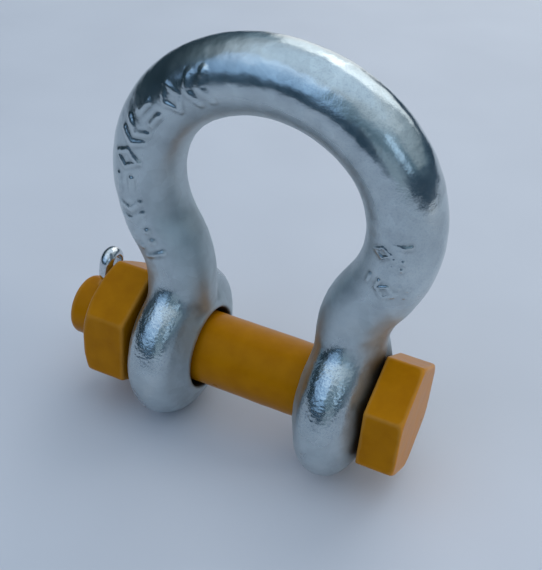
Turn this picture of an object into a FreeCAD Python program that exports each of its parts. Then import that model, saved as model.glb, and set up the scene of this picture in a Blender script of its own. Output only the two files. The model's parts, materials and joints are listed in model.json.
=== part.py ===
import FreeCAD, Part
import math
import os

import Sketcher

# Bolt-type bow shackle, millimetres. The row frame has its origin on the bore axis of the two
# ears, midway between them: +X runs along the bolt towards its head, +Z up the middle of the
# bow to its crown, and the bow lies in the XZ plane.

doc = FreeCAD.newDocument("bow_shackle")
dims = doc.addObject("Spreadsheet::Sheet", "dims")

DRIVING = {
    # bow
    "bar_dia": 20.0,          # round bar of the bow
    "crown_height": 89.6,     # bore axis to the bar's centreline at the crown
    "crown_radius": 40.8,     # centreline radius over the crown
    "side_radius": 32.5,      # centreline radius round each side
    "bow_width": 53.6,        # clear width inside the bow at its widest
    "waist_radius": 26.5,     # centreline radius of the bend back into each leg
    "jaw_width": 32.6,        # clear width between the ears at the bore
    "ear_width": 20.4,        # length of each bore, face to face
    "ear_dia": 47.8,          # outside of each ear
    "rim_radius": 7.9,        # rounding of the ear's rim
    "shoulder_radius": 9.5,   # blend from each leg into the ear's rim
    "boss_dia": 27.0,         # flat round the bore on each ear face
    "bore_dia": 25.0,
    "bore_edge": 0.7,         # rounding of the bore's edges
    "foot_depth": 0.2,        # flat that the forging stands on, below each ear
    # bolt
    "pin_dia": 22.0,
    "thread_dia": 18.8,       # crest of the thread under its coat of paint
    "end_play": 0.2,          # gap between each ear and the head or the nut
    "head_flats": 31.0,
    "head_height": 11.2,
    "neck_length": 3.2,       # plain run of the pin inside the nut-side ear, up to its shoulder
    "bolt_end": 61.4,         # origin to the threaded end
    "end_chamfer": 0.8,
    # nut
    "nut_flats": 34.3,
    "nut_height": 14.2,
    "nut_clearance": 0.06,    # radial gap between the nut's crests and the bolt
    # bevelled corners of the head and the nut
    "wrench_turn": -2.5,      # degrees that a corner is turned from straight up, about +X
    "head_bevel_start": 1.07, # where each bevel begins, as a share of the distance to the flats
    "nut_bevel_start": 0.98,
    "bevel_reach": 1.3,       # where the cutting triangle ends, past the corners
    "bevel_angle": 30.0,
    # split cotter pin
    "cotter_dia": 4.6,        # the two half-round legs together
    "cotter_hole_dia": 5.2,
    "cotter_offset": 53.7,    # origin to the cross hole along the bolt
    "cotter_lean": 13.0,      # degrees that the cotter leans back from upright
    "cotter_slit": 0.1,       # gap between the two flat faces
    "eye_radius": 2.4,        # inside radius of the eye
    "eye_side": 2.5,          # straight stretch on each side of the eye
    "eye_neck": 9.6,          # bolt axis to where the legs part into the eye
    "eye_flare": 3.5,         # radius of the bend where each leg parts
    "long_leg": 19.0,         # bolt axis to the longer leg's tip
    "short_leg": 17.4,
}

for row, (alias, value) in enumerate(DRIVING.items(), start=1):
    dims.set("A%d" % row, alias)
    dims.set("B%d" % row, str(value))
    dims.setAlias("B%d" % row, alias)
doc.recompute()


def size(alias):
    """The present value of one driving dimension."""
    return float(dims.get(alias))


def plane(body, role):
    """One of a body's own origin planes or axes."""
    for feature in body.Origin.OriginFeatures:
        if feature.Role == role:
            return feature
    raise ValueError(role)


def new_body(label):
    body = doc.addObject("PartDesign::Body", label)
    body.Label = label
    doc.recompute()
    return body


def new_sketch(body, name, role):
    sketch = body.newObject("Sketcher::SketchObject", name)
    sketch.AttachmentSupport = [(plane(body, role), "")]
    sketch.MapMode = "FlatFace"
    sketch.Visibility = False
    return sketch


def bind(sketch, name, formula, kind, *places):
    """Add one dimension to a sketch and drive it from the sheet."""
    value = float(sketch.evalExpression(formula))
    index = sketch.addConstraint(Sketcher.Constraint(kind, *places, value))
    sketch.renameConstraint(index, name)
    sketch.setExpression("Constraints." + name, formula)


def point(u, v):
    return FreeCAD.Vector(u, v, 0.0)


def arc(centre_u, centre_v, radius, start, end):
    circle = Part.Circle(point(centre_u, centre_v), FreeCAD.Vector(0, 0, 1), radius)
    return Part.ArcOfCircle(circle, start, end)


def join(sketch, kind, *places):
    sketch.addConstraint(Sketcher.Constraint(kind, *places))


def feature(body, kind, name, **settings):
    """Add one PartDesign feature to a body and recompute it."""
    item = body.newObject("PartDesign::" + kind, name)
    for key, value in settings.items():
        setattr(item, key, value)
    doc.recompute()
    return item


# Geometry and constraint places: a sketch's own origin and axes, and the ends of a line or arc.
ORIGIN = (-1, 1)
U_AXIS = -1
V_AXIS = -2
START = 1
END = 2
CENTRE = 3


def polygon(sketch, corners):
    """Closed outline of straight lines through the corners, joined end to end."""
    first = sketch.GeometryCount
    count = len(corners)
    for index in range(count):
        here = point(*corners[index])
        there = point(*corners[(index + 1) % count])
        sketch.addGeometry(Part.LineSegment(here, there), False)
    for index in range(count):
        join(sketch, "Coincident", first + index, END, first + (index + 1) % count, START)
    return first


# ---- bow: half of the forging is built, then mirrored ---------------------------------------


def bow_spine(body):
    """Centreline of half the bow: crown arc, side arc, waist arc and straight leg."""
    sketch = new_sketch(body, "spine", "XZ_Plane")
    leg = (size("jaw_width") + size("ear_width")) / 2
    half_width = (size("bow_width") + size("bar_dia")) / 2
    crown, side, waist = size("crown_radius"), size("side_radius"), size("waist_radius")
    crown_v = size("crown_height") - crown
    side_u = half_width - side
    lean = math.acos(side_u / (crown - side))
    side_v = crown_v + (crown - side) * math.sin(lean)
    waist_u = leg + waist
    drop = math.acos((waist_u - side_u) / (side + waist))
    waist_v = side_v - (side + waist) * math.sin(drop)
    sketch.addGeometry(arc(0, crown_v, crown, lean, math.pi / 2), False)
    sketch.addGeometry(arc(side_u, side_v, side, -drop, lean), False)
    sketch.addGeometry(arc(waist_u, waist_v, waist, math.pi - drop, math.pi), False)
    sketch.addGeometry(Part.LineSegment(point(leg, waist_v), point(leg, 0)), False)
    join(sketch, "Tangent", 0, START, 1, END)
    join(sketch, "Tangent", 1, START, 2, START)
    join(sketch, "Tangent", 2, END, 3, START)
    join(sketch, "Vertical", 3)
    join(sketch, "PointOnObject", 3, END, U_AXIS)
    join(sketch, "PointOnObject", 0, END, V_AXIS)
    join(sketch, "PointOnObject", 0, CENTRE, V_AXIS)
    bind(sketch, "leg", "(dims.jaw_width + dims.ear_width) / 2", "DistanceX", *ORIGIN, 3, END)
    bind(sketch, "crown_height", "dims.crown_height", "DistanceY", *ORIGIN, 0, END)
    bind(sketch, "crown", "dims.crown_radius", "Radius", 0)
    bind(sketch, "side", "dims.side_radius", "Radius", 1)
    bind(sketch, "waist", "dims.waist_radius", "Radius", 2)
    half = "(dims.bow_width + dims.bar_dia) / 2 - dims.side_radius"
    bind(sketch, "side_centre", half, "DistanceX", *ORIGIN, 1, CENTRE)
    return sketch


def bow_section(body):
    """Round section of the bar at the foot of the leg."""
    sketch = new_sketch(body, "bar_section", "XY_Plane")
    leg = (size("jaw_width") + size("ear_width")) / 2
    circle = Part.Circle(point(leg, 0), FreeCAD.Vector(0, 0, 1), size("bar_dia") / 2)
    sketch.addGeometry(circle, False)
    join(sketch, "PointOnObject", 0, CENTRE, U_AXIS)
    bind(sketch, "leg", "(dims.jaw_width + dims.ear_width) / 2", "DistanceX", *ORIGIN, 0, CENTRE)
    bind(sketch, "section", "dims.bar_dia", "Diameter", 0)
    return sketch


def ear_profile(body):
    """Half section of one ear: flat boss faces, sloping cheeks and a rounded rim."""
    sketch = new_sketch(body, "ear_profile", "XZ_Plane")
    inner = size("jaw_width") / 2
    outer = inner + size("ear_width")
    middle = (inner + outer) / 2
    rim = size("rim_radius")
    rim_v = size("ear_dia") / 2 - rim
    boss = size("boss_dia") / 2
    core = size("bore_dia") / 4
    reach = math.hypot(middle - inner, rim_v - boss)
    to_boss = math.pi + math.atan2(rim_v - boss, middle - inner)
    touch = to_boss - math.acos(rim / reach)
    touch_u = rim * math.cos(touch)
    touch_v = rim_v + rim * math.sin(touch)
    sketch.addGeometry(Part.LineSegment(point(inner, core), point(inner, boss)), False)
    sketch.addGeometry(Part.LineSegment(point(inner, boss), point(middle + touch_u, touch_v)), False)
    sketch.addGeometry(arc(middle, rim_v, rim, math.pi - touch, touch), False)
    sketch.addGeometry(Part.LineSegment(point(middle - touch_u, touch_v), point(outer, boss)), False)
    sketch.addGeometry(Part.LineSegment(point(outer, boss), point(outer, core)), False)
    sketch.addGeometry(Part.LineSegment(point(outer, core), point(inner, core)), False)
    join(sketch, "Coincident", 0, END, 1, START)
    join(sketch, "Tangent", 1, END, 2, END)
    join(sketch, "Tangent", 2, START, 3, START)
    join(sketch, "Coincident", 3, END, 4, START)
    join(sketch, "Coincident", 4, END, 5, START)
    join(sketch, "Coincident", 5, END, 0, START)
    join(sketch, "Vertical", 0)
    join(sketch, "Vertical", 4)
    join(sketch, "Horizontal", 5)
    bind(sketch, "inner", "dims.jaw_width / 2", "DistanceX", *ORIGIN, 0, END)
    bind(sketch, "width", "dims.ear_width", "DistanceX", 0, END, 3, END)
    bind(sketch, "boss_inner", "dims.boss_dia / 2", "DistanceY", *ORIGIN, 0, END)
    bind(sketch, "boss_outer", "dims.boss_dia / 2", "DistanceY", *ORIGIN, 3, END)
    bind(sketch, "core", "dims.bore_dia / 4", "DistanceY", *ORIGIN, 0, START)
    bind(sketch, "rim", "dims.rim_radius", "Radius", 2)
    bind(sketch, "rim_v", "dims.ear_dia / 2 - dims.rim_radius", "DistanceY", *ORIGIN, 2, CENTRE)
    bind(sketch, "rim_u", "(dims.jaw_width + dims.ear_width) / 2", "DistanceX", *ORIGIN, 2, CENTRE)
    return sketch


def shoulder_edges(shape):
    """The two edges where the round leg meets the ear's rim, in front and behind."""
    low, high = size("ear_dia") / 2 - size("rim_radius"), size("ear_dia") / 2
    found = []
    for index, edge in enumerate(shape.Edges, start=1):
        box = edge.BoundBox
        if low < box.ZMin and box.ZMax < high and box.XLength > size("rim_radius"):
            if edge.Curve.TypeId == "Part::GeomBSplineCurve":
                found.append("Edge%d" % index)
    return found


def bore_sketch(body):
    sketch = new_sketch(body, "bore_circle", "YZ_Plane")
    circle = Part.Circle(point(0, 0), FreeCAD.Vector(0, 0, 1), size("bore_dia") / 2)
    sketch.addGeometry(circle, False)
    join(sketch, "Coincident", 0, CENTRE, *ORIGIN)
    bind(sketch, "bore", "dims.bore_dia", "Diameter", 0)
    return sketch


def foot_sketch(body):
    """Block below both ears that trims the small flats they stand on."""
    sketch = new_sketch(body, "foot_trim", "XZ_Plane")
    reach = size("jaw_width") / 2 + size("ear_width")
    floor = size("ear_dia") / 2 - size("foot_depth")
    below = size("ear_dia")
    corners = [(-reach, -below), (reach, -below), (reach, -floor), (-reach, -floor)]
    polygon(sketch, corners)
    join(sketch, "Horizontal", 0)
    join(sketch, "Vertical", 1)
    join(sketch, "Vertical", 3)
    join(sketch, "Symmetric", 2, START, 2, END, V_AXIS)
    bind(sketch, "reach", "dims.jaw_width + 2 * dims.ear_width", "DistanceX", 2, END, 2, START)
    bind(sketch, "floor", "dims.ear_dia / 2 - dims.foot_depth", "DistanceY", 2, START, *ORIGIN)
    bind(sketch, "below", "dims.ear_dia", "DistanceY", 1, START, *ORIGIN)
    return sketch


def bore_mouths(shape):
    """The circular edges at both ends of both bores."""
    radius = size("bore_dia") / 2
    found = []
    for index, edge in enumerate(shape.Edges, start=1):
        circle = edge.Curve
        if circle.TypeId == "Part::GeomCircle" and abs(circle.Radius - radius) < 1e-6:
            if edge.BoundBox.XLength < 1e-3:
                found.append("Edge%d" % index)
    return found


def make_bow():
    body = new_body("bow")
    spine = bow_spine(body)
    section = bow_section(body)
    doc.recompute()
    edges = ["Edge1", "Edge2", "Edge3", "Edge4"]
    feature(body, "AdditivePipe", "bar_sweep", Profile=section, Spine=(spine, edges))
    profile = ear_profile(body)
    doc.recompute()
    axis = (profile, ["H_Axis"])
    ear = feature(body, "Revolution", "ear", Profile=profile, ReferenceAxis=axis, Angle=360)
    shoulder = feature(body, "Fillet", "shoulder", Base=(ear, shoulder_edges(ear.Shape)))
    shoulder.setExpression("Radius", "dims.shoulder_radius")
    doc.recompute()
    middle = (plane(body, "YZ_Plane"), [""])
    feature(body, "Mirrored", "other_half", TransformMode="Whole shape", MirrorPlane=middle)
    body.Tip = doc.getObject("other_half")
    doc.recompute()
    circle = bore_sketch(body)
    doc.recompute()
    bore = feature(body, "Pocket", "bore", Profile=circle, Type="ThroughAll", Midplane=True)
    trim = foot_sketch(body)
    doc.recompute()
    feet = feature(body, "Pocket", "feet", Profile=trim, Type="ThroughAll", Midplane=True)
    mouths = feature(body, "Fillet", "bore_edges", Base=(feet, bore_mouths(feet.Shape)))
    mouths.setExpression("Radius", "dims.bore_edge")
    doc.recompute()
    return body


# ---- hexagons shared by the bolt's head and the nut -----------------------------------------


def hexagon(body, name, flats, offset):
    """Hexagon across the X axis with a corner near the top, moved along X by the offset."""
    sketch = new_sketch(body, name, "YZ_Plane")
    turn = FreeCAD.Rotation(FreeCAD.Vector(0, 0, 1), size("wrench_turn"))
    sketch.AttachmentOffset = FreeCAD.Placement(FreeCAD.Vector(0, 0, 0), turn)
    sketch.setExpression("AttachmentOffset.Base.z", offset)
    sketch.setExpression("AttachmentOffset.Rotation.Angle", "dims.wrench_turn")
    across = float(sketch.evalExpression(flats))
    radius = across / math.sqrt(3)
    turns = [math.radians(90 + 60 * k) for k in range(6)]
    polygon(sketch, [(radius * math.cos(a), radius * math.sin(a)) for a in turns])
    round_it = Part.Circle(point(0, 0), FreeCAD.Vector(0, 0, 1), radius)
    ring = sketch.addGeometry(round_it, True)
    join(sketch, "Coincident", ring, CENTRE, *ORIGIN)
    for line in range(6):
        join(sketch, "PointOnObject", line, START, ring)
    for line in range(1, 6):
        join(sketch, "Equal", 0, line)
    join(sketch, "PointOnObject", 0, START, V_AXIS)
    bind(sketch, "flats", flats, "DistanceX", 1, START, 5, START)
    return sketch


def corner_cut(body, name, face, flats, begin, side):
    """Triangle that, turned about X, bevels a hexagon's corners.

    face is the formula for the end face's X, begin is the share of the distance to the flats
    where the bevel begins, and side is +1 or -1 for the way it faces.
    """
    sketch = new_sketch(body, name, "XZ_Plane")
    start_formula = begin + " * " + flats + " / 2"
    far_formula = "dims.bevel_reach * " + flats + " / 2"
    depth = "(dims.bevel_reach - " + begin + ") * " + flats + " / 2"
    run_formula = depth + " * tan(dims.bevel_angle * 1 deg)"
    face_u = float(sketch.evalExpression(face))
    start_v = float(sketch.evalExpression(start_formula))
    far_v = float(sketch.evalExpression(far_formula))
    back_u = face_u - side * float(sketch.evalExpression(run_formula))
    polygon(sketch, [(face_u, start_v), (face_u, far_v), (back_u, far_v)])
    join(sketch, "Vertical", 0)
    join(sketch, "Horizontal", 1)
    along = (0, START, *ORIGIN) if side < 0 else (*ORIGIN, 0, START)
    start = face if side > 0 else "-(" + face + ")"
    bind(sketch, "face", start, "DistanceX", *along)
    bind(sketch, "start", start_formula, "DistanceY", *ORIGIN, 0, START)
    bind(sketch, "far", far_formula, "DistanceY", *ORIGIN, 0, END)
    ends = (1, END, 1, START) if side > 0 else (1, START, 1, END)
    bind(sketch, "run", run_formula, "DistanceX", *ends)
    return sketch


def turned(body, kind, name, sketch):
    """Revolve or groove a sketch the whole way round its own X axis."""
    axis = (sketch, ["H_Axis"])
    return feature(body, kind, name, Profile=sketch, ReferenceAxis=axis, Angle=360)


# ---- bolt -----------------------------------------------------------------------------------


def bolt_profile(body):
    """Half section of the pin, its shoulder and the thinner threaded end."""
    sketch = new_sketch(body, "pin_profile", "XZ_Plane")
    seat = size("jaw_width") / 2 + size("ear_width") + size("end_play")
    shoulder = -(size("jaw_width") / 2 + size("ear_width") - size("neck_length"))
    end = -size("bolt_end")
    pin, thread = size("pin_dia") / 2, size("thread_dia") / 2
    bevel = size("end_chamfer")
    step = pin - thread
    corners = [
        (end, 0),
        (seat, 0),
        (seat, pin),
        (shoulder, pin),
        (shoulder - step, thread),
        (end + bevel, thread),
        (end, thread - bevel),
    ]
    polygon(sketch, corners)
    join(sketch, "PointOnObject", 0, START, U_AXIS)
    join(sketch, "PointOnObject", 0, END, U_AXIS)
    join(sketch, "Vertical", 1)
    join(sketch, "Horizontal", 2)
    join(sketch, "Horizontal", 4)
    join(sketch, "Vertical", 6)
    reach = "dims.jaw_width / 2 + dims.ear_width"
    bind(sketch, "seat", reach + " + dims.end_play", "DistanceX", *ORIGIN, 0, END)
    bind(sketch, "end", "dims.bolt_end", "DistanceX", 0, START, *ORIGIN)
    bind(sketch, "pin", "dims.pin_dia / 2", "DistanceY", *ORIGIN, 2, START)
    bind(sketch, "shoulder", reach + " - dims.neck_length", "DistanceX", 2, END, *ORIGIN)
    bind(sketch, "step", "(dims.pin_dia - dims.thread_dia) / 2", "DistanceX", 3, END, 3, START)
    bind(sketch, "thread", "dims.thread_dia / 2", "DistanceY", *ORIGIN, 4, START)
    bind(sketch, "bevel_x", "dims.end_chamfer", "DistanceX", 5, END, 5, START)
    bind(sketch, "bevel_z", "dims.end_chamfer", "DistanceY", 5, END, 5, START)
    return sketch


def cross_hole(body):
    """Circle for the cotter's hole, looking down the hole, which leans back from upright."""
    sketch = new_sketch(body, "cotter_circle", "XY_Plane")
    lean = FreeCAD.Rotation(FreeCAD.Vector(1, 0, 0), -size("cotter_lean"))
    sketch.AttachmentOffset = FreeCAD.Placement(FreeCAD.Vector(0, 0, 0), lean)
    sketch.setExpression("AttachmentOffset.Rotation.Angle", "-dims.cotter_lean")
    centre = point(-size("cotter_offset"), 0)
    circle = Part.Circle(centre, FreeCAD.Vector(0, 0, 1), size("cotter_hole_dia") / 2)
    sketch.addGeometry(circle, False)
    join(sketch, "PointOnObject", 0, CENTRE, U_AXIS)
    bind(sketch, "offset", "dims.cotter_offset", "DistanceX", 0, CENTRE, *ORIGIN)
    bind(sketch, "hole", "dims.cotter_hole_dia", "Diameter", 0)
    return sketch


def make_bolt():
    body = new_body("bolt")
    profile = bolt_profile(body)
    doc.recompute()
    turned(body, "Revolution", "pin", profile)
    seat = "dims.jaw_width / 2 + dims.ear_width + dims.end_play"
    head_sketch = hexagon(body, "head_hexagon", "dims.head_flats", seat)
    doc.recompute()
    head = feature(body, "Pad", "head", Profile=head_sketch)
    head.setExpression("Length", "dims.head_height")
    doc.recompute()
    end_face = seat + " + dims.head_height"
    begin = "dims.head_bevel_start"
    bevel = corner_cut(body, "head_bevel_profile", end_face, "dims.head_flats", begin, 1)
    doc.recompute()
    turned(body, "Groove", "head_bevel", bevel)
    circle = cross_hole(body)
    doc.recompute()
    feature(body, "Pocket", "cotter_hole", Profile=circle, Type="ThroughAll", Midplane=True)
    return body


# ---- nut ------------------------------------------------------------------------------------


def make_nut():
    body = new_body("nut")
    face = "dims.jaw_width / 2 + dims.ear_width + dims.end_play"
    outline = hexagon(body, "nut_hexagon", "dims.nut_flats", "-(" + face + ") - dims.nut_height")
    doc.recompute()
    block = feature(body, "Pad", "nut_block", Profile=outline)
    block.setExpression("Length", "dims.nut_height")
    doc.recompute()
    outer_face = "-(" + face + " + dims.nut_height)"
    begin = "dims.nut_bevel_start"
    outer = corner_cut(body, "outer_bevel_profile", outer_face, "dims.nut_flats", begin, -1)
    doc.recompute()
    turned(body, "Groove", "outer_bevel", outer)
    hole = new_sketch(body, "nut_bore_circle", "YZ_Plane")
    radius = size("thread_dia") / 2 + size("nut_clearance")
    hole.addGeometry(Part.Circle(point(0, 0), FreeCAD.Vector(0, 0, 1), radius), False)
    join(hole, "Coincident", 0, CENTRE, *ORIGIN)
    bind(hole, "bore", "dims.thread_dia + 2 * dims.nut_clearance", "Diameter", 0)
    doc.recompute()
    feature(body, "Pocket", "nut_bore", Profile=hole, Type="ThroughAll", Midplane=True)
    return body


# ---- cotter pin -----------------------------------------------------------------------------


def cotter_spine(body):
    """Route of the half-round wire's flat face: up one leg, round the eye, down the other."""
    sketch = new_sketch(body, "wire_route", "YZ_Plane")
    gap = size("cotter_slit") / 2
    eye, flare = size("eye_radius"), size("eye_flare")
    neck = size("eye_neck")
    lift = math.acos((gap + flare) / (eye + flare))
    low_v = neck + (eye + flare) * math.sin(lift)
    high_v = low_v + size("eye_side")
    out = math.pi - lift
    sketch.addGeometry(Part.LineSegment(point(gap, -size("long_leg")), point(gap, neck)), False)
    sketch.addGeometry(arc(gap + flare, neck, flare, out, math.pi), False)
    sketch.addGeometry(arc(0, low_v, eye, -lift, 0), False)
    sketch.addGeometry(Part.LineSegment(point(eye, low_v), point(eye, high_v)), False)
    sketch.addGeometry(arc(0, high_v, eye, 0, math.pi), False)
    sketch.addGeometry(Part.LineSegment(point(-eye, high_v), point(-eye, low_v)), False)
    sketch.addGeometry(arc(0, low_v, eye, math.pi, math.pi + lift), False)
    sketch.addGeometry(arc(-gap - flare, neck, flare, 0, lift), False)
    sketch.addGeometry(Part.LineSegment(point(-gap, neck), point(-gap, -size("short_leg"))), False)
    join(sketch, "Tangent", 0, END, 1, END)
    join(sketch, "Tangent", 1, START, 2, START)
    join(sketch, "Tangent", 2, END, 3, START)
    join(sketch, "Tangent", 3, END, 4, START)
    join(sketch, "Tangent", 4, END, 5, START)
    join(sketch, "Tangent", 5, END, 6, START)
    join(sketch, "Tangent", 6, END, 7, END)
    join(sketch, "Tangent", 7, START, 8, START)
    for line in (0, 3, 5, 8):
        join(sketch, "Vertical", line)
    join(sketch, "PointOnObject", 4, CENTRE, V_AXIS)
    join(sketch, "Equal", 1, 7)
    join(sketch, "Equal", 2, 6)
    bind(sketch, "front_gap", "dims.cotter_slit / 2", "DistanceX", *ORIGIN, 0, START)
    bind(sketch, "back_gap", "dims.cotter_slit / 2", "DistanceX", 8, END, *ORIGIN)
    bind(sketch, "long_leg", "dims.long_leg", "DistanceY", 0, START, *ORIGIN)
    bind(sketch, "short_leg", "dims.short_leg", "DistanceY", 8, END, *ORIGIN)
    bind(sketch, "neck", "dims.eye_neck", "DistanceY", *ORIGIN, 0, END)
    bind(sketch, "flare", "dims.eye_flare", "Radius", 1)
    bind(sketch, "eye", "dims.eye_radius", "Radius", 4)
    bind(sketch, "eye_side", "dims.eye_side", "DistanceY", 3, START, 3, END)
    return sketch


def half_round(body):
    """Half-round section of the wire at the longer leg's tip, flat face inwards."""
    sketch = new_sketch(body, "wire_section", "XY_Plane")
    sketch.setExpression("AttachmentOffset.Base.z", "-dims.long_leg")
    gap, radius = size("cotter_slit") / 2, size("cotter_dia") / 2
    sketch.addGeometry(arc(0, gap, radius, 0, math.pi), False)
    sketch.addGeometry(Part.LineSegment(point(-radius, gap), point(radius, gap)), False)
    join(sketch, "Coincident", 0, END, 1, START)
    join(sketch, "Coincident", 1, END, 0, START)
    join(sketch, "Horizontal", 1)
    join(sketch, "PointOnObject", 0, CENTRE, V_AXIS)
    join(sketch, "PointOnObject", 0, CENTRE, 1)
    bind(sketch, "wire_radius", "dims.cotter_dia / 2", "Radius", 0)
    bind(sketch, "gap", "dims.cotter_slit / 2", "DistanceY", *ORIGIN, 0, CENTRE)
    return sketch


def make_cotter_pin():
    body = new_body("cotter_pin")
    route = cotter_spine(body)
    section = half_round(body)
    doc.recompute()
    edges = ["Edge%d" % k for k in range(1, 10)]
    feature(body, "AdditivePipe", "wire", Profile=section, Spine=(route, edges))
    lean = FreeCAD.Rotation(FreeCAD.Vector(1, 0, 0), -size("cotter_lean"))
    body.Placement = FreeCAD.Placement(FreeCAD.Vector(0, 0, 0), lean)
    body.setExpression("Placement.Base.x", "-dims.cotter_offset")
    body.setExpression("Placement.Rotation.Angle", "-dims.cotter_lean")
    doc.recompute()
    return body


PARTS = [make_bow(), make_bolt(), make_nut(), make_cotter_pin()]
doc.recompute()

for item in doc.Objects:
    if "Invalid" in item.State or "Error" in item.State:
        raise RuntimeError(item.Name + " failed: " + str(item.State))
for body in PARTS:
    if body.Shape.isNull() or not body.Shape.isValid():
        raise RuntimeError(body.Label + " has no valid shape")

os.makedirs("parts", exist_ok=True)
for body in PARTS:
    body.Shape.exportStep("parts/" + body.Label + ".step")
    box = body.Shape.BoundBox
    print(body.Label, "solids", len(body.Shape.Solids), "volume mm3", round(body.Shape.Volume, 1),
          "x", round(box.XMin, 2), round(box.XMax, 2), "y", round(box.YMin, 2), round(box.YMax, 2),
          "z", round(box.ZMin, 2), round(box.ZMax, 2))
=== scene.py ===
"""Looks of a bolt-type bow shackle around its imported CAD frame. Metres, row frame."""

import json
import math

import bmesh
import bpy
import numpy as np
from mathutils import Matrix, Vector, noise


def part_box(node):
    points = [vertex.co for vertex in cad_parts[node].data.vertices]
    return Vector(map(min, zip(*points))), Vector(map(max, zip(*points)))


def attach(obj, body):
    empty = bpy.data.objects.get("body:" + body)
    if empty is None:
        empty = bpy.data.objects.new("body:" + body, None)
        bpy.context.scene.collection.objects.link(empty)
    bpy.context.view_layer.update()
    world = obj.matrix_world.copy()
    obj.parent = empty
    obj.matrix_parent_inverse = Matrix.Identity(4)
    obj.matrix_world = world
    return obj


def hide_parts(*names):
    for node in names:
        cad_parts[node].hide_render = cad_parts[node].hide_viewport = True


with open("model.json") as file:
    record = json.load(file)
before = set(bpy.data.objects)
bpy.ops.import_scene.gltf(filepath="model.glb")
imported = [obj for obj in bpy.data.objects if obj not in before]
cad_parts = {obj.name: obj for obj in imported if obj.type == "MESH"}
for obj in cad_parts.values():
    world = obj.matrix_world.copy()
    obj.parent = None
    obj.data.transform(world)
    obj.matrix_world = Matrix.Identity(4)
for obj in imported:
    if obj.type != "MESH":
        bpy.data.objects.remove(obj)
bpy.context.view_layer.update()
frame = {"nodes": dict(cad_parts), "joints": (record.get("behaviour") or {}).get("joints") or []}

MM = 0.001
SCENE = bpy.context.scene

# Centreline of the bow's round bar, as in the CAD: crown, side and waist arcs and a straight leg.
BAR_RADIUS = 10.0 * MM
CROWN_RADIUS = 40.8 * MM
SIDE_RADIUS = 32.5 * MM
WAIST_RADIUS = 26.5 * MM
BOW_LOW, BOW_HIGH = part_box("bow")
CROWN_HEIGHT = BOW_HIGH.z - BAR_RADIUS
HALF_WIDTH = BOW_HIGH.x - BAR_RADIUS
LEG_X = 26.5 * MM
NUT_BORE = 9.46 * MM

# Noise layers: height, distance between bumps, place in the noise.
BOW_LAYERS = [(0.10 * MM, 14 * MM, 3.7), (0.045 * MM, 3.4 * MM, 11.2), (0.014 * MM, 1.4 * MM, 27.9)]
ZINC_GRAIN = (0.026 * MM, 0.62 * MM, 51.3)

FLOOR_Z = BOW_LOW.z
WELD_GAP = 1e-6


# ---- meshes ---------------------------------------------------------------------------------


def new_object(name, mesh):
    piece = bpy.data.objects.new(name, mesh)
    SCENE.collection.objects.link(piece)
    return piece


def remeshed(node, name, voxel):
    """A new piece with the CAD node's shape, as an even mesh of small quads."""
    mesh = bpy.data.meshes.new(name)
    welded = bmesh.new()
    welded.from_mesh(frame["nodes"][node].data)
    bmesh.ops.remove_doubles(welded, verts=welded.verts, dist=WELD_GAP)
    welded.to_mesh(mesh)
    welded.free()
    piece = new_object(name, mesh)
    modifier = piece.modifiers.new("remesh", "REMESH")
    modifier.mode = "VOXEL"
    modifier.voxel_size = voxel
    modifier.adaptivity = 0.0
    graph = bpy.context.evaluated_depsgraph_get()
    even = bpy.data.meshes.new_from_object(piece.evaluated_get(graph))
    piece.modifiers.clear()
    even.name = name
    piece.data = even
    bpy.data.meshes.remove(mesh)
    return piece


def points_of(mesh):
    flat = np.empty(len(mesh.vertices) * 3)
    mesh.vertices.foreach_get("co", flat)
    return flat.reshape(-1, 3)


def normals_of(mesh):
    flat = np.empty(len(mesh.vertices) * 3, np.float32)
    mesh.vertices.foreach_get("normal", flat)
    return flat.reshape(-1, 3).astype(float)


def set_points(mesh, points):
    mesh.vertices.foreach_set("co", points.astype(np.float32).ravel())
    mesh.update()


def neighbour_mean(mesh):
    """A function that gives, for each vertex, the mean of its neighbours' values."""
    ends = np.empty(len(mesh.edges) * 2, np.int32)
    mesh.edges.foreach_get("vertices", ends)
    first, second = ends.reshape(-1, 2).T
    count = len(mesh.vertices)
    degree = np.bincount(first, minlength=count) + np.bincount(second, minlength=count)

    def mean(values):
        if values.ndim == 2:
            return np.stack([mean(column) for column in values.T], 1)
        total = np.bincount(first, values[second], count) + np.bincount(second, values[first], count)
        return total / degree

    return mean


def relax(mesh, rounds, shrink=0.5, swell=-0.53):
    """Smooth a mesh without shrinking it: each round pulls in, then pushes back out."""
    mean = neighbour_mean(mesh)
    points = points_of(mesh)
    for step in [shrink, swell] * rounds:
        points += step * (mean(points) - points)
    set_points(mesh, points)


def store(mesh, name, values):
    """Keep a value for each vertex, for the materials."""
    attribute = mesh.attributes.new(name, "FLOAT", "POINT")
    attribute.data.foreach_set("value", values.astype(np.float32))


def store_edges(mesh, scale, rounds=3):
    """Keep how convex the surface is at each vertex: 1 on edges, 0 in corners, 0.5 where flat."""
    mean = neighbour_mean(mesh)
    points = points_of(mesh)
    bulge = ((points - mean(points)) * normals_of(mesh)).sum(1) / scale
    for _ in range(rounds):
        bulge = mean(bulge)
    store(mesh, "edge", np.clip(0.5 + 0.5 * bulge, 0, 1))


def noise_field(points, wavelength, shift):
    """Smooth noise, about -1 to 1, with bumps one wavelength apart."""
    scaled = points / wavelength + shift
    return np.array([noise.noise(Vector(p)) for p in scaled]) * 2


def ripple(points, layers):
    """Sum of noise layers, each with its height."""
    return sum(height * noise_field(points, wavelength, shift) for height, wavelength, shift in layers)


def push(mesh, heights):
    """Move each vertex along its normal."""
    set_points(mesh, points_of(mesh) + normals_of(mesh) * heights[:, None])


def shade_smooth(mesh):
    mesh.polygons.foreach_set("use_smooth", [True] * len(mesh.polygons))
    mesh.update()


# ---- bow ------------------------------------------------------------------------------------


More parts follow.
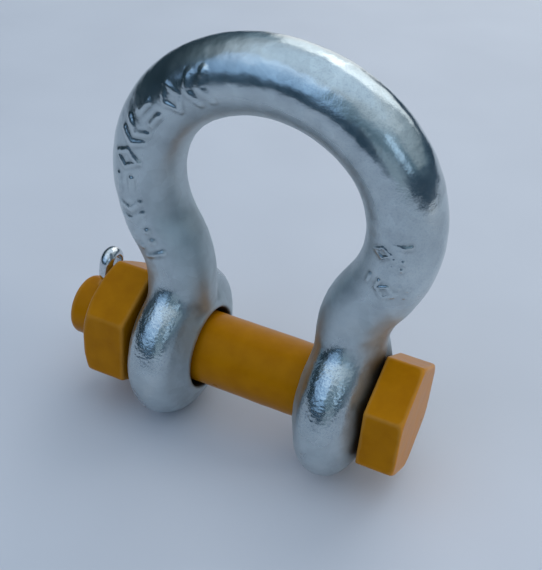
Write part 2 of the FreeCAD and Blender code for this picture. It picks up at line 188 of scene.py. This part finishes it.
def bow_centreline(spacing=0.25 * MM):
    """Points (x, z), outward normals and distances from the crown along the bar's centreline.

    Distances are negative on the nut's side and positive on the head's side.
    """
    crown_z = CROWN_HEIGHT - CROWN_RADIUS
    side_x = HALF_WIDTH - SIDE_RADIUS
    lean = math.acos(side_x / (CROWN_RADIUS - SIDE_RADIUS))
    side_z = crown_z + (CROWN_RADIUS - SIDE_RADIUS) * math.sin(lean)
    waist_x = LEG_X + WAIST_RADIUS
    drop = math.acos((waist_x - side_x) / (SIDE_RADIUS + WAIST_RADIUS))
    waist_z = side_z - (SIDE_RADIUS + WAIST_RADIUS) * math.sin(drop)
    arcs = [
        (0.0, crown_z, CROWN_RADIUS, math.pi / 2, lean, 1),
        (side_x, side_z, SIDE_RADIUS, lean, -drop, 1),
        (waist_x, waist_z, WAIST_RADIUS, math.pi - drop, math.pi, -1),
    ]
    points, normals, along = [], [], []
    start = 0.0
    for centre_x, centre_z, radius, begin, end, side in arcs:
        length = abs(end - begin) * radius
        for k in range(int(length / spacing)):
            angle = begin + (end - begin) * k * spacing / length
            out = (math.cos(angle), math.sin(angle))
            points.append((centre_x + radius * out[0], centre_z + radius * out[1]))
            normals.append((side * out[0], side * out[1]))
            along.append(start + k * spacing)
        start += length
    for k in range(int(waist_z / spacing)):
        points.append((LEG_X, waist_z - k * spacing))
        normals.append((1.0, 0.0))
        along.append(start + k * spacing)
    mirror = np.array([-1.0, 1.0])
    points, normals, along = np.array(points), np.array(normals), np.array(along)
    points = np.concatenate([(points * mirror)[::-1], points])
    normals = np.concatenate([(normals * mirror)[::-1], normals])
    return points, normals, np.concatenate([-along[::-1], along])


CENTRELINE = bow_centreline()


def bar_place(points, batch=4000):
    """Distance along the bar from the crown, and offset outwards across it, for each point."""
    line, normals, along = CENTRELINE
    flat = points[:, [0, 2]]
    nearest = np.empty(len(flat), int)
    for first in range(0, len(flat), batch):
        part = flat[first:first + batch]
        gaps = ((part[:, None, :] - line[None, :, :]) ** 2).sum(2)
        nearest[first:first + batch] = gaps.argmin(1)
    offset = ((flat - line[nearest]) * normals[nearest]).sum(1)
    return along[nearest], offset


def smooth_step(values):
    values = np.clip(values, 0, 1)
    return values * values * (3 - 2 * values)


def fade(values, none, full):
    """0 at none, rising smoothly to 1 at full."""
    return smooth_step((values - none) / (full - none))


# Raised marks: each takes places along and across the bar in millimetres from its own middle,
# and gives 1 on top of the mark, falling to 0 at its foot.

STROKE_WIDTH = 2.8
STROKE_TOP = 1.05         # over 1, so that a stroke's top has a narrow flat


def stroke(u, v, start, end, width=STROKE_WIDTH):
    (u0, v0), (u1, v1) = start, end
    run = (u1 - u0) ** 2 + (v1 - v0) ** 2
    share = np.clip(((u - u0) * (u1 - u0) + (v - v0) * (v1 - v0)) / max(run, 1e-9), 0, 1)
    gap = np.hypot(u - u0 - share * (u1 - u0), v - v0 - share * (v1 - v0))
    return np.clip(STROKE_TOP - 2 * STROKE_TOP * gap / width, 0, 1)


def strokes(u, v, ends, width=STROKE_WIDTH):
    return np.maximum.reduce([stroke(u, v, start, end, width) for start, end in ends])


def double_chevron(u, v):
    ends = []
    for shift in (-1.7, 1.7):
        ends += [((shift + 0.9, -3.3), (shift - 0.9, 0)), ((shift - 0.9, 0), (shift + 0.9, 3.3))]
    return strokes(u, v, ends)


def lozenge(u, v):
    tips = [(-2.4, 0), (0, 3.6), (2.4, 0), (0, -3.6)]
    return strokes(u, v, list(zip(tips, tips[1:] + tips[:1])), 2.3)


def rails(u, v):
    return strokes(u, v, [((-2.0, side), (2.0, side)) for side in (-2.2, 2.2)], 2.5)


def dots(u, v):
    places = [(-1.8, -2.0), (1.8, -2.0), (-1.8, 2.0), (1.8, 2.0)]
    return strokes(u, v, [(place, place) for place in places], 3.0)


def dash(u, v):
    return stroke(u, v, (0, -3.4), (0, 3.4), 3.0)


MARK_HEIGHT = 0.40 * MM
MARK_FRONT = -0.35        # marks are only where the normal's Y is below this
MARK_LOWEST = 25 * MM
MARK_WEAR = [(0.55, 4 * MM, 41.0)]
MARK_MEAN = 0.80          # how much of a mark is left on average, and at least
MARK_LEAST = 0.3

# Kind, distance from the crown (negative on the nut's side), distance outwards, size.
MARKS = [
    (double_chevron, -17.5, 0.5, 1.15), (lozenge, -25.5, 0.4, 1.05), (rails, -34.0, 1.0, 1.05),
    (double_chevron, -42.0, 1.3, 1.0), (lozenge, -49.5, 1.5, 1.0), (rails, -57.0, 1.8, 1.0),
    (double_chevron, -65.0, 1.4, 1.0), (dots, -73.0, 0.9, 1.0), (dash, -78.5, 0.2, 0.8),
    (lozenge, 55.0, -2.9, 0.66), (dash, 52.3, 1.9, 0.62), (dots, 57.2, 1.4, 0.6),
    (rails, 64.8, -3.2, 0.62), (lozenge, 65.8, 0.8, 0.7), (dots, 64.2, 4.6, 0.55),
]


def mark_heights(points, normals):
    """Height of the raised marks at each vertex. They are on the front, where -Y faces."""
    heights = np.zeros(len(points))
    front = np.where((normals[:, 1] < MARK_FRONT) & (points[:, 2] > MARK_LOWEST))[0]
    s, t = bar_place(points[front])
    raised = np.zeros(len(front))
    for kind, along, across, size in MARKS:
        u = (s / MM - along) / size
        v = (t / MM - across) / size
        raised = np.maximum(raised, kind(u, v) * (0.8 + 0.2 * size))
    heights[front] = MARK_HEIGHT * smooth_step(raised)
    worn = MARK_MEAN + ripple(points[front], MARK_WEAR)
    heights[front] *= np.clip(worn, MARK_LEAST, 1)
    return heights


def grain_share(points):
    """1 around the ears' rims, where the zinc is coarse, fading to 0 below and above."""
    rim = np.hypot(points[:, 1], points[:, 2]) / MM
    turn = np.degrees(np.arctan2(np.abs(points[:, 1]), points[:, 2]))
    out = np.abs(np.abs(points[:, 0]) - LEG_X) / MM
    return fade(rim, 14, 20) * fade(turn, 15, 33) * fade(turn, 92, 70) * fade(out, 9, 5)


def dull_share(points):
    """1 on the inside of the bar and of the ears, where the zinc is duller, and 0 elsewhere."""
    across = bar_place(points)[1]
    inside = fade(-across / BAR_RADIUS, 0.15, 0.65)
    side, height = np.abs(points[:, 0]) / MM, points[:, 2] / MM
    inside[height < 22] = 0
    jaw = fade(side, 23, 18) * fade(height, 30, 20)
    neck = fade(side, 27, 32) * fade(height, 44, 32) * fade(height, 14, 21)
    flank = fade(side, 30, 34) * fade(height, 26, 18)
    return np.maximum.reduce([inside, jaw, 0.85 * neck, 0.8 * flank])


def painted_shade_share(points):
    """1 in the bores and on the ears' outer faces by the head and nut, for painted shade; 0 elsewhere.
    """
    outer = fade(np.abs(points[:, 0]) / MM, 33.4, 36.2) * fade(points[:, 2] / MM, 24, 17)
    bore = fade(np.hypot(points[:, 1], points[:, 2]) / MM, 13.4, 12.7)
    return np.maximum(outer, bore)


def crown_share(points):
    """1 on the head's side of the bow's top, where the zinc has some of the coarse grain."""
    return fade(points[:, 0] / MM, -5, 15) * fade(points[:, 2] / MM, 35, 50)


def refine(mesh, least_grain=0.05):
    """Quarter the quads at the raised marks and at the coarse grain, so that both are crisp."""
    points, normals = points_of(mesh), normals_of(mesh)
    fine = (mark_heights(points, normals) > 0) | (grain_share(points) > least_grain)
    work = bmesh.new()
    work.from_mesh(mesh)
    work.verts.ensure_lookup_table()
    faces = set()
    for index in np.where(fine)[0]:
        faces.update(work.verts[index].link_faces)
    edges = {edge for face in faces for edge in face.edges}
    bmesh.ops.subdivide_edges(work, edges=list(edges), cuts=1, use_grid_fill=True)
    work.to_mesh(mesh)
    work.free()
    mesh.update()


def forged_bow(voxel, rounding):
    """The galvanised forging: even bar, soft hollows of the forging, zinc ripple, raised marks."""
    piece = remeshed("bow", "bow_forging", voxel)
    mesh = piece.data
    relax(mesh, rounding)
    refine(mesh)
    points, normals = points_of(mesh), normals_of(mesh)
    heights = ripple(points, BOW_LAYERS) + ripple(points, [ZINC_GRAIN]) * grain_share(points)
    heights += mark_heights(points, normals)
    push(mesh, heights)
    keep_inside(mesh, "bow")
    points = points_of(mesh)
    store(mesh, "grain", np.maximum(grain_share(points), 0.45 * crown_share(points)))
    store(mesh, "dull", dull_share(points))
    # painted shade: the bores and the ears' faces by the head and the nut, darkened
    store(mesh, "painted_shade", painted_shade_share(points))
    store_edges(mesh, scale=0.012 * MM)
    shade_smooth(mesh)
    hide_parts("bow")
    return piece


def keep_inside(mesh, node):
    """Keep a piece in its CAD node's box."""
    low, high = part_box(node)
    set_points(mesh, np.clip(points_of(mesh), np.array(low), np.array(high)))


# ---- bolt and nut ---------------------------------------------------------------------------


BORE_ROOM = 0.2 * MM
BORE_DEPTH = 0.8 * MM     # into the wall, so that the whole bore is cleared


def painted(node, name, voxel, rounding, seed, bore=None):
    """A painted piece: its edges rounded by the coat, its surface slightly uneven.

    A bore of the given radius is left smooth and cleared a little, so that it runs free.
    """
    piece = remeshed(node, name, voxel)
    mesh = piece.data
    relax(mesh, rounding, swell=0)
    relax(mesh, 10)
    points = points_of(mesh)
    heights = ripple(points, [(0.03 * MM, 5 * MM, seed), (0.008 * MM, 1.1 * MM, seed + 9)])
    if bore:
        heights[np.hypot(points[:, 1], points[:, 2]) < bore + BORE_DEPTH] = -BORE_ROOM
    push(mesh, heights)
    keep_inside(mesh, node)
    store_edges(mesh, scale=0.015 * MM)
    shade_smooth(mesh)
    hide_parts(node)
    return piece


# ---- split cotter pin -----------------------------------------------------------------------

EYE_RADIUS = 2.4 * MM     # inside of the eye
EYE_SIDE = 2.5 * MM       # straight stretch on each side of the eye
EYE_NECK = 9.6 * MM       # bolt's axis to where the legs part
EYE_FLARE = 3.5 * MM
LEG_GAP = 0.05 * MM       # each flat face to the pin's middle
LEGS = (19.0 * MM, 17.4 * MM)


def cotter_route(step=0.12 * MM):
    """Points (v, w) and inward normals of the wire's flat face, up one leg and down the other."""
    lift = math.acos((LEG_GAP + EYE_FLARE) / (EYE_RADIUS + EYE_FLARE))
    low = EYE_NECK + (EYE_RADIUS + EYE_FLARE) * math.sin(lift)
    high = low + EYE_SIDE
    route = []

    def line(v0, w0, v1, w1, normal):
        count = max(2, int(math.hypot(v1 - v0, w1 - w0) / step))
        for k in range(count):
            share = k / count
            route.append((v0 + (v1 - v0) * share, w0 + (w1 - w0) * share, *normal))

    def bend(v, w, radius, begin, end, side):
        count = max(3, int(abs(end - begin) * radius / step))
        for k in range(count):
            angle = begin + (end - begin) * k / count
            c, s = math.cos(angle), math.sin(angle)
            route.append((v + radius * c, w + radius * s, side * c, side * s))

    line(LEG_GAP, -LEGS[0], LEG_GAP, EYE_NECK, (-1, 0))
    bend(LEG_GAP + EYE_FLARE, EYE_NECK, EYE_FLARE, math.pi, math.pi - lift, 1)
    bend(0, low, EYE_RADIUS, -lift, 0, -1)
    line(EYE_RADIUS, low, EYE_RADIUS, high, (-1, 0))
    bend(0, high, EYE_RADIUS, 0, math.pi, -1)
    line(-EYE_RADIUS, high, -EYE_RADIUS, low, (1, 0))
    bend(0, low, EYE_RADIUS, math.pi, math.pi + lift, -1)
    bend(-LEG_GAP - EYE_FLARE, EYE_NECK, EYE_FLARE, lift, 0, 1)
    line(-LEG_GAP, EYE_NECK, -LEG_GAP, -LEGS[1], (1, 0))
    route.append((-LEG_GAP, -LEGS[1], 1, 0))
    return route


def half_round(radius, corner=0.35 * MM, arc_steps=14, corner_steps=5):
    """Half-round section (across, outwards) with its two corners rounded."""
    section = []
    inner = radius - corner
    foot = math.asin(corner / inner)
    reach = inner * math.cos(foot)
    for k in range(arc_steps + 1):
        angle = foot + (math.pi - 2 * foot) * k / arc_steps
        section.append((radius * math.cos(angle), radius * math.sin(angle)))

    def corner_point(side, k):
        swing = (math.pi / 2 + foot) * k / corner_steps
        angle = foot - swing if side > 0 else math.pi - foot + swing
        return side * reach + corner * math.cos(angle), corner + corner * math.sin(angle)

    section += [corner_point(-1, k) for k in range(1, corner_steps)]
    section += [(-reach, 0.0), (reach, 0.0)]
    section += [corner_point(1, k) for k in range(corner_steps - 1, 0, -1)]
    return section


def cotter_pin():
    """Half-round wire bent double, swept along its route and leaned back with the cross hole."""
    low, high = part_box("cotter_pin")
    radius = (high.x - low.x) / 2
    pull = next(joint for joint in frame["joints"] if joint["name"] == "cotter_pull")
    up = Vector(pull["axis"]).normalized()
    across = Vector((1, 0, 0))
    back = up.cross(across)
    origin = Vector(((high.x + low.x) / 2, 0, 0))
    section = half_round(radius)
    work = bmesh.new()
    rows = []
    for v, w, normal_v, normal_w in cotter_route():
        flat = origin + back * v + up * w
        outward = -(back * normal_v + up * normal_w)
        rows.append([work.verts.new(flat + across * a + outward * b) for a, b in section])
    count = len(section)
    for here, there in zip(rows, rows[1:]):
        for k in range(count):
            following = (k + 1) % count
            work.faces.new((here[k], here[following], there[following], there[k]))
    work.faces.new(rows[0][::-1])
    work.faces.new(rows[-1])
    bmesh.ops.recalc_face_normals(work, faces=work.faces)
    mesh = bpy.data.meshes.new("cotter_wire")
    work.to_mesh(mesh)
    work.free()
    piece = new_object("cotter_wire", mesh)
    shade_smooth(mesh)
    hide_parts("cotter_pin")
    return piece


# ---- materials ------------------------------------------------------------------------------


def new_material(name):
    """An empty material: it, its nodes, its links, its shader and its object coordinates."""
    material = bpy.data.materials.new(name)
    material.use_nodes = True
    nodes, links = material.node_tree.nodes, material.node_tree.links
    nodes.clear()
    shader = nodes.new("ShaderNodeBsdfPrincipled")
    output = nodes.new("ShaderNodeOutputMaterial")
    links.new(shader.outputs["BSDF"], output.inputs["Surface"])
    coordinate = nodes.new("ShaderNodeTexCoord")
    return material, nodes, links, shader, coordinate.outputs["Object"]


def texture(nodes, links, place, kind, scale, **settings):
    """A noise or Voronoi texture whose scale is a wavelength in metres."""
    item = nodes.new("ShaderNodeTex" + kind)
    item.inputs["Scale"].default_value = 1 / scale
    for key, value in settings.items():
        if key in item.inputs:
            item.inputs[key].default_value = value
        else:
            setattr(item, key, value)
    links.new(place, item.inputs["Vector"])
    return item


def ramp(nodes, links, source, stops):
    """Colour ramp through (position, colour) stops."""
    item = nodes.new("ShaderNodeValToRGB")
    elements = item.color_ramp.elements
    while len(elements) < len(stops):
        elements.new(0.5)
    for element, (position, colour) in zip(elements, stops):
        element.position = position
        element.color = (*colour, 1) if len(colour) == 3 else colour
    links.new(source, item.inputs["Fac"])
    return item.outputs["Color"]


def grey(value):
    return (value, value, value)


def spread(nodes, links, source, low, high, start=0.0, end=1.0, curve="LINEAR"):
    """Map start..end to low..high."""
    item = nodes.new("ShaderNodeMapRange")
    item.interpolation_type = curve
    item.inputs["From Min"].default_value = start
    item.inputs["From Max"].default_value = end
    item.inputs["To Min"].default_value = low
    item.inputs["To Max"].default_value = high
    links.new(source, item.inputs["Value"])
    return item.outputs["Result"]


def mix_colours(nodes, links, share, first, second, blend="MIX"):
    item = nodes.new("ShaderNodeMix")
    item.data_type = "RGBA"
    item.blend_type = blend
    for socket, value in (("Factor", share), ("A", first), ("B", second)):
        target = next(i for i in item.inputs if i.name == socket and i.enabled)
        if hasattr(value, "default_value"):
            links.new(value, target)
        else:
            target.default_value = value if socket == "Factor" else (*value, 1)
    return next(o for o in item.outputs if o.enabled)


def bumps(nodes, links, shader, layers):
    """Chain of bump nodes: (height source, strength, distance in metres)."""
    previous = None
    for source, strength, distance in layers:
        item = nodes.new("ShaderNodeBump")
        item.inputs["Strength"].default_value = strength
        item.inputs["Distance"].default_value = distance
        links.new(source, item.inputs["Height"])
        if previous is not None:
            links.new(previous, item.inputs["Normal"])
        previous = item.outputs["Normal"]
    links.new(previous, shader.inputs["Normal"])


def stored(nodes, name):
    """A value that the mesh keeps for each vertex."""
    item = nodes.new("ShaderNodeAttribute")
    item.attribute_name = name
    return item.outputs["Fac"]


def combined(nodes, links, first, second, operation="ADD"):
    item = nodes.new("ShaderNodeMath")
    item.operation = operation
    links.new(first, item.inputs[0])
    links.new(second, item.inputs[1])
    return item.outputs["Value"]


LEGS_TOP, LEGS_FOOT = 65 * MM, 30 * MM     # the zinc gets a little duller from one to the other
# near-black painted shade, for the bores and the ears' faces by the head and the nut
PAINTED_SHADE_COLOUR = (0.10, 0.10, 0.09)
# lighter edge colour: thinner paint there, and a painted highlight
THIN_PAINT_AND_HIGHLIGHT = (0.60, 0.29, 0.07)
PAINT_GLOSS = (1.0, 0.72, 0.4)


def galvanised():
    """Hot-dip zinc on a forging: satin grey-blue with clouds, faint spangle and fine grain."""
    material, nodes, links, shader, place = new_material("galvanised_zinc")
    clouds = texture(nodes, links, place, "Noise", 9 * MM, Detail=4.0, Roughness=0.6)
    grain = texture(nodes, links, place, "Noise", 0.7 * MM, Detail=3.0, Roughness=0.65)
    spangle = texture(nodes, links, place, "Voronoi", 3.5 * MM, Randomness=1.0)
    tone = ramp(nodes, links, clouds.outputs["Fac"],
                [(0.30, (0.46, 0.52, 0.55)), (0.55, (0.54, 0.61, 0.64)), (0.75, (0.61, 0.67, 0.69))])
    flake = ramp(nodes, links, spangle.outputs["Color"], [(0.0, grey(0.88)), (1.0, grey(1.0))])
    colour = mix_colours(nodes, links, 1.0, tone, flake, "MULTIPLY")
    worn = ramp(nodes, links, stored(nodes, "edge"),
                [(0.15, grey(0.72)), (0.5, grey(0.96)), (0.85, grey(1.0))])
    colour = mix_colours(nodes, links, 1.0, colour, worn, "MULTIPLY")
    speckle = texture(nodes, links, place, "Noise", 0.5 * MM, Detail=2.0, Roughness=0.6)
    pits = ramp(nodes, links, speckle.outputs["Fac"], [(0.34, (0.72, 0.76, 0.82)), (0.48, grey(1.0))])
    pitted = mix_colours(nodes, links, 1.0, colour, pits, "MULTIPLY")
    colour = mix_colours(nodes, links, stored(nodes, "grain"), colour, pitted)
    # painted shade: near black in the bores and on the ears' faces by the head and the nut
    colour = mix_colours(nodes, links, stored(nodes, "painted_shade"), colour, PAINTED_SHADE_COLOUR)
    links.new(colour, shader.inputs["Base Color"])
    shader.inputs["Metallic"].default_value = 1.0
    rough = spread(nodes, links, clouds.outputs["Fac"], 0.14, 0.32)
    split = nodes.new("ShaderNodeSeparateXYZ")
    links.new(place, split.inputs["Vector"])
    lower = spread(nodes, links, split.outputs["Z"], 0.0, 0.06, LEGS_TOP, LEGS_FOOT)
    duller = spread(nodes, links, stored(nodes, "dull"), 0.0, 0.22)
    rough = combined(nodes, links, rough, combined(nodes, links, lower, duller))
    crisp = spread(nodes, links, stored(nodes, "grain"), 0.0, 0.08)
    rough = combined(nodes, links, rough, crisp, "SUBTRACT")
    links.new(rough, shader.inputs["Roughness"])
    rim = combined(nodes, links, speckle.outputs["Fac"], stored(nodes, "grain"), "MULTIPLY")
    bumps(nodes, links, shader, [
        (clouds.outputs["Fac"], 0.5, 0.25 * MM),
        (grain.outputs["Fac"], 0.35, 0.06 * MM),
        (rim, 0.45, 0.08 * MM),
    ])
    return material


def amber_paint():
    """Thick amber paint, slight orange peel, darker hollows; thin paint and painted highlight on
    edges.
    """
    material, nodes, links, shader, place = new_material("amber_paint")
    clouds = texture(nodes, links, place, "Noise", 6 * MM, Detail=3.0)
    peel = texture(nodes, links, place, "Noise", 0.9 * MM, Detail=1.5)
    tone = ramp(nodes, links, clouds.outputs["Fac"],
                [(0.35, (0.44, 0.156, 0.0015)), (0.65, (0.50, 0.184, 0.002))])
    edge = stored(nodes, "edge")
    # how much of the lighter edge colour: thinner paint on the edges and a painted highlight
    thin_and_highlight_share = ramp(nodes, links, edge, [(0.62, grey(0.0)), (1.0, grey(0.35))])
    thin_and_highlit = mix_colours(nodes, links, thin_and_highlight_share, tone, THIN_PAINT_AND_HIGHLIGHT)
    # darker in the hollows
    darker_in_hollows = ramp(nodes, links, edge, [(0.05, grey(0.55)), (0.45, grey(1.0))])
    tone = mix_colours(nodes, links, 1.0, thin_and_highlit, darker_in_hollows, "MULTIPLY")
    links.new(tone, shader.inputs["Base Color"])
    rough = spread(nodes, links, clouds.outputs["Fac"], 0.24, 0.36)
    links.new(rough, shader.inputs["Roughness"])
    shader.inputs["Specular IOR Level"].default_value = 0.10
    shader.inputs["Specular Tint"].default_value = (*PAINT_GLOSS, 1)
    bumps(nodes, links, shader, [(peel.outputs["Fac"], 0.25, 0.05 * MM)])
    return material


def bright_zinc():
    """Bright zinc-plated wire with fine drawing lines."""
    material, nodes, links, shader, place = new_material("bright_zinc")
    grain = texture(nodes, links, place, "Noise", 0.5 * MM, Detail=3.0)
    tone = ramp(nodes, links, grain.outputs["Fac"],
                [(0.3, (0.50, 0.53, 0.55)), (0.7, (0.70, 0.72, 0.74))])
    links.new(tone, shader.inputs["Base Color"])
    shader.inputs["Metallic"].default_value = 1.0
    rough = spread(nodes, links, grain.outputs["Fac"], 0.12, 0.26)
    links.new(rough, shader.inputs["Roughness"])
    bumps(nodes, links, shader, [(grain.outputs["Fac"], 0.15, 0.02 * MM)])
    return material


def pale_floor():
    """Plain matt table top with faint clouds."""
    material, nodes, links, shader, place = new_material("pale_floor")
    clouds = texture(nodes, links, place, "Noise", 60 * MM, Detail=2.0)
    tone = ramp(nodes, links, clouds.outputs["Fac"],
                [(0.3, (0.625, 0.625, 0.67)), (0.7, (0.655, 0.655, 0.70))])
    links.new(tone, shader.inputs["Base Color"])
    shader.inputs["Roughness"].default_value = 0.55
    shader.inputs["Specular IOR Level"].default_value = 0.15
    return material


def paint_with(piece, material):
    piece.data.materials.clear()
    piece.data.materials.append(material)


# ---- stage, light and camera ----------------------------------------------------------------

# Corners (x, y) of the table top, whose front edge runs askew, and of the floor around it.
TABLE = ((-0.9, 0.04), (1.6, -1.46), (1.6, 1.6), (-0.9, 1.6))
FLOOR = ((-4.0, -4.0), (4.0, -4.0), (4.0, 4.0), (-4.0, 4.0))
ROOM_RADIUS = 5.0
PANEL_DISTANCE = 1.6
WINDOW_WHITE = (0.98, 0.97, 0.95)


def flat_sheet(name, outer, inner=None):
    """A flat four-sided sheet on the floor, with a four-sided hole where inner is given."""
    corners = [(x, y, FLOOR_Z) for x, y in outer + (inner or ())]
    faces = [(0, 1, 2, 3)]
    if inner:
        faces = [(k, (k + 1) % 4, 4 + (k + 1) % 4, 4 + k) for k in range(4)]
    mesh = bpy.data.meshes.new(name)
    mesh.from_pydata(corners, [], faces)
    return new_object(name, mesh)


def only_seen(stage):
    """A backdrop that the camera sees, but that lights nothing and isn't reflected."""
    stage.visible_diffuse = False
    stage.visible_glossy = False
    stage.visible_transmission = False
    stage.visible_shadow = False


def soft_glow(name, low, high, cloud_size=2.0):
    """Even pale tone with faint clouds, as on a plain backdrop."""
    material = bpy.data.materials.new(name)
    material.use_nodes = True
    nodes, links = material.node_tree.nodes, material.node_tree.links
    nodes.clear()
    glow = nodes.new("ShaderNodeEmission")
    place = nodes.new("ShaderNodeTexCoord").outputs["Object"]
    clouds = texture(nodes, links, place, "Noise", cloud_size, Detail=1.0)
    tone = ramp(nodes, links, clouds.outputs["Fac"], [(0.3, low), (0.7, high)])
    links.new(tone, glow.inputs["Color"])
    output = nodes.new("ShaderNodeOutputMaterial")
    links.new(glow.outputs["Emission"], output.inputs["Surface"])
    return material


def make_floor():
    """Pale table top, and a plain floor of the same tone beyond it."""
    table = flat_sheet("table", TABLE)
    paint_with(table, pale_floor())
    around = flat_sheet("floor", FLOOR, TABLE)
    paint_with(around, soft_glow("pale_far_floor", (0.42, 0.48, 0.58), (0.44, 0.50, 0.60)))
    only_seen(around)


def make_backdrop():
    """Plain pale backdrop all round. It lights nothing and isn't reflected."""
    mesh = bpy.data.meshes.new("backdrop")
    work = bmesh.new()
    bmesh.ops.create_icosphere(work, subdivisions=4, radius=ROOM_RADIUS)
    work.to_mesh(mesh)
    work.free()
    shade_smooth(mesh)
    backdrop = new_object("backdrop", mesh)
    paint_with(backdrop, soft_glow("pale_backdrop", (0.46, 0.52, 0.62), (0.50, 0.56, 0.66)))
    only_seen(backdrop)


def panel(name, turn, rise, half_turn, half_rise, radiance, colour, mirrored=True):
    """A soft window-like light, with its angles in degrees.

    Turn is from the front towards the head's side, and rise is from the floor. A light that isn't
    mirrored lights surfaces but doesn't show in the zinc.
    """
    turn, rise = math.radians(turn), math.radians(rise)
    width = 2 * PANEL_DISTANCE * math.tan(math.radians(half_turn))
    height = 2 * PANEL_DISTANCE * math.tan(math.radians(half_rise))
    data = bpy.data.lights.new(name, "AREA")
    data.shape = "RECTANGLE"
    data.size, data.size_y = width, height
    data.energy = radiance * math.pi * width * height
    data.color = colour
    light = bpy.data.objects.new(name, data)
    SCENE.collection.objects.link(light)
    level = math.cos(rise)
    towards = Vector((math.sin(turn) * level, -math.cos(turn) * level, math.sin(rise)))
    light.location = towards * PANEL_DISTANCE
    light.rotation_euler = (-towards).to_track_quat("-Z", "Y").to_euler()
    light.visible_camera = False
    light.visible_glossy = mirrored


def make_surround():
    """Dim studio: pale above, dark near the floor and darkest on the nut's side.

    Both ramps run up from the floor: 0.5 is level and 1 is straight up.
    """
    world = bpy.data.worlds.new("studio")
    world.use_nodes = True
    nodes, links = world.node_tree.nodes, world.node_tree.links
    direction = nodes.new("ShaderNodeTexCoord").outputs["Generated"]
    split = nodes.new("ShaderNodeSeparateXYZ")
    links.new(direction, split.inputs["Vector"])
    height = spread(nodes, links, split.outputs["Z"], 0.5, 1.0)
    sky = ramp(nodes, links, height, [
        (0.50, (0.035, 0.07, 0.11)), (0.58, (0.045, 0.08, 0.12)), (0.67, (0.13, 0.21, 0.27)),
        (0.80, (0.28, 0.39, 0.48)), (0.87, (0.59, 0.68, 0.75)), (0.95, (0.76, 0.92, 1.08)),
    ])
    dim = ramp(nodes, links, height, [
        (0.50, (0.02, 0.04, 0.055)), (0.68, (0.025, 0.045, 0.06)), (0.80, (0.12, 0.17, 0.20)),
        (0.87, (0.43, 0.49, 0.54)), (0.93, (0.70, 0.78, 0.84)), (0.97, (0.72, 0.90, 1.08)),
    ])
    side = spread(nodes, links, split.outputs["X"], 0.0, 1.0, -0.75, -0.40, "SMOOTHSTEP")
    surround = mix_colours(nodes, links, side, dim, sky)
    background = nodes["Background"]
    links.new(surround, background.inputs["Color"])
    background.inputs["Strength"].default_value = 1.0
    SCENE.world = world


def make_lights():
    """The room's windows, as the zinc mirrors them, a fill for the head, and the dim studio."""
    panel("back_window", 165, 38, 17, 20, 1.08, WINDOW_WHITE)
    panel("tall_window", 193, 25, 11, 27, 1.04, WINDOW_WHITE)
    panel("front_window", -29, 36, 29, 22, 0.60, (0.42, 0.64, 1.0))
    panel("side_window", 52, 27, 8, 9, 0.85, (0.62, 0.80, 1.0))
    panel("low_window", 28, 6, 15, 12, 0.34, (0.75, 0.90, 1.0))
    panel("far_wall", 112, 35, 28, 13, 0.17, (1.0, 0.92, 0.82))
    panel("head_fill", 96, 14, 10, 8, 8.0, (1.0, 0.95, 0.85), mirrored=False)
    make_surround()


CAMERA_AZIMUTH = math.radians(23.05)
CAMERA_ELEVATION = math.radians(35.38)
CAMERA_ROLL = math.radians(4.09)
CAMERA_DISTANCE = 249.87 * MM
CAMERA_TARGET = Vector((1.53 * MM, 0, 29.41 * MM))
CAMERA_LENS = 57.1        # millimetres
CAMERA_SENSOR = 36.0
CAMERA_NEAR = 10 * MM


def make_camera():
    level = math.cos(CAMERA_ELEVATION)
    away = Vector((math.sin(CAMERA_AZIMUTH) * level, -math.cos(CAMERA_AZIMUTH) * level,
                   math.sin(CAMERA_ELEVATION)))
    right = Vector((math.cos(CAMERA_AZIMUTH), math.sin(CAMERA_AZIMUTH), 0))
    up = away.cross(right)
    rolled_right = right * math.cos(CAMERA_ROLL) + up * math.sin(CAMERA_ROLL)
    rolled_up = up * math.cos(CAMERA_ROLL) - right * math.sin(CAMERA_ROLL)
    data = bpy.data.cameras.new("camera")
    data.sensor_width = CAMERA_SENSOR
    data.lens = CAMERA_LENS
    data.clip_start = CAMERA_NEAR
    camera = bpy.data.objects.new("camera", data)
    SCENE.collection.objects.link(camera)
    turn = Matrix((rolled_right, rolled_up, away)).transposed().to_4x4()
    camera.matrix_world = Matrix.Translation(CAMERA_TARGET + away * CAMERA_DISTANCE) @ turn
    SCENE.camera = camera


# ---- the shackle ----------------------------------------------------------------------------

make_camera()
bow = forged_bow(voxel=0.58 * MM, rounding=25)
bolt = painted("bolt", "bolt_painted", voxel=0.34 * MM, rounding=5, seed=5.1)
nut = painted("nut", "nut_painted", voxel=0.32 * MM, rounding=20, seed=17.3, bore=NUT_BORE)
wire = cotter_pin()
paint = amber_paint()
paint_with(bow, galvanised())
paint_with(bolt, paint)
paint_with(nut, paint)
paint_with(wire, bright_zinc())
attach(bow, "bow")
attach(bolt, "bolt")
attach(nut, "nut")
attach(wire, "cotter")
make_floor()
make_backdrop()
make_lights()
SCENE.view_settings.view_transform = "Standard"
